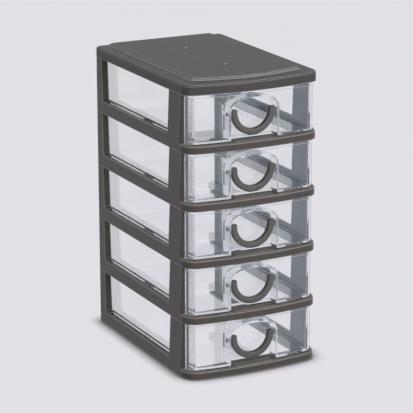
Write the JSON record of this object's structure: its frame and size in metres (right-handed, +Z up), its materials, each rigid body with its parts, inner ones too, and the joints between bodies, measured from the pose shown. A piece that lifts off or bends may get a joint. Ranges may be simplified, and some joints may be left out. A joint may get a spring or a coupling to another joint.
{
  "type": "small plastic drawer tower",
  "caption": "Upright tower of clear sliding drawers in dark stacked frames, each drawer with a hinged half-ring pull in an arched finger recess.",
  "frame": {"origin": "middle of the underside of the tower, at the centre of its width and depth", "axes": "+Z up, -Y out of the front, where the drawers open, +X to the right of a person facing the tower"},
  "size_m": [0.125, 0.186, 0.2564],
  "materials": {
    "dark_plastic": "satin, warm dark grey",
    "clear_plastic": "clear, polished",
    "pull_plastic": "satin, warm dark grey"
  },
  "bodies": {
    "tower": {"top_cover": "dark_plastic", "frame_1": "dark_plastic", "frame_2": "dark_plastic", "frame_3": "dark_plastic", "frame_4": "dark_plastic", "frame_5": "dark_plastic"},
    "drawer_1": {"drawer_1": "clear_plastic"},
    "handle_1": {"handle_1": "pull_plastic"},
    "drawer_2": {"drawer_2": "clear_plastic"},
    "handle_2": {"handle_2": "pull_plastic"},
    "drawer_3": {"drawer_3": "clear_plastic"},
    "handle_3": {"handle_3": "pull_plastic"},
    "drawer_4": {"drawer_4": "clear_plastic"},
    "handle_4": {"handle_4": "pull_plastic"},
    "drawer_5": {"drawer_5": "clear_plastic"},
    "handle_5": {"handle_5": "pull_plastic"}
  },
  "joints": [
    {"name": "drawer_1_slide", "type": "slide", "parent": "tower", "child": "drawer_1", "axis": [0, -1, 0], "range_m": [0, 0.13]},
    {"name": "handle_1_hinge", "type": "hinge", "parent": "drawer_1", "child": "handle_1", "pos_m": [0, -0.0851, 0.0296], "axis": [-1, 0, 0], "range_deg": [-8, 90]},
    {"name": "drawer_2_slide", "type": "slide", "parent": "tower", "child": "drawer_2", "axis": [0, -1, 0], "range_m": [0, 0.13]},
    {"name": "handle_2_hinge", "type": "hinge", "parent": "drawer_2", "child": "handle_2", "pos_m": [0, -0.0851, 0.0786], "axis": [-1, 0, 0], "range_deg": [-8, 90]},
    {"name": "drawer_3_slide", "type": "slide", "parent": "tower", "child": "drawer_3", "axis": [0, -1, 0], "range_m": [0, 0.13]},
    {"name": "handle_3_hinge", "type": "hinge", "parent": "drawer_3", "child": "handle_3", "pos_m": [0, -0.0851, 0.1276], "axis": [-1, 0, 0], "range_deg": [-8, 90]},
    {"name": "drawer_4_slide", "type": "slide", "parent": "tower", "child": "drawer_4", "axis": [0, -1, 0], "range_m": [0, 0.13]},
    {"name": "handle_4_hinge", "type": "hinge", "parent": "drawer_4", "child": "handle_4", "pos_m": [0, -0.0851, 0.1766], "axis": [-1, 0, 0], "range_deg": [-8, 90]},
    {"name": "drawer_5_slide", "type": "slide", "parent": "tower", "child": "drawer_5", "axis": [0, -1, 0], "range_m": [0, 0.13]},
    {"name": "handle_5_hinge", "type": "hinge", "parent": "drawer_5", "child": "handle_5", "pos_m": [0, -0.0851, 0.2256], "axis": [-1, 0, 0], "range_deg": [-8, 90]}
  ]
}
